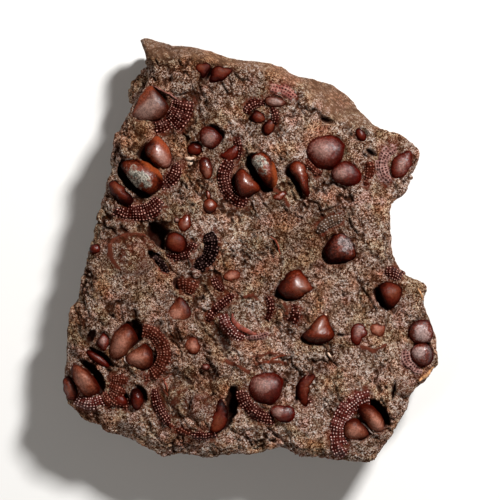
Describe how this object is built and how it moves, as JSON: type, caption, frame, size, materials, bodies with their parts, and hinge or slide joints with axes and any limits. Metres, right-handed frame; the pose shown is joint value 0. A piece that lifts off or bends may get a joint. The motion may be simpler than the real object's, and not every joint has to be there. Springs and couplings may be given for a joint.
{
  "type": "fossil trilobite plate",
  "caption": "Broken slab of brown sandstone lying on its back, its upper face crowded with iron-stained moulds of small trilobite head shields with pitted fringes.",
  "frame": {"origin": "on the surface that the slab rests on, under the middle of its outline", "axes": "+Z out of the fossil face, which looks up; +Y towards the weathered slope at the top of the face; +X to the right of the face"},
  "size_m": [0.0745, 0.0846, 0.0195],
  "materials": {
    "sandstone": "matte, grainy broken sandstone with iron staining",
    "iron_stain": "satin iron-oxide coating on the fossil moulds"
  },
  "bodies": {
    "root": {"fossil_plate": "sandstone"}
  },
  "joints": []
}
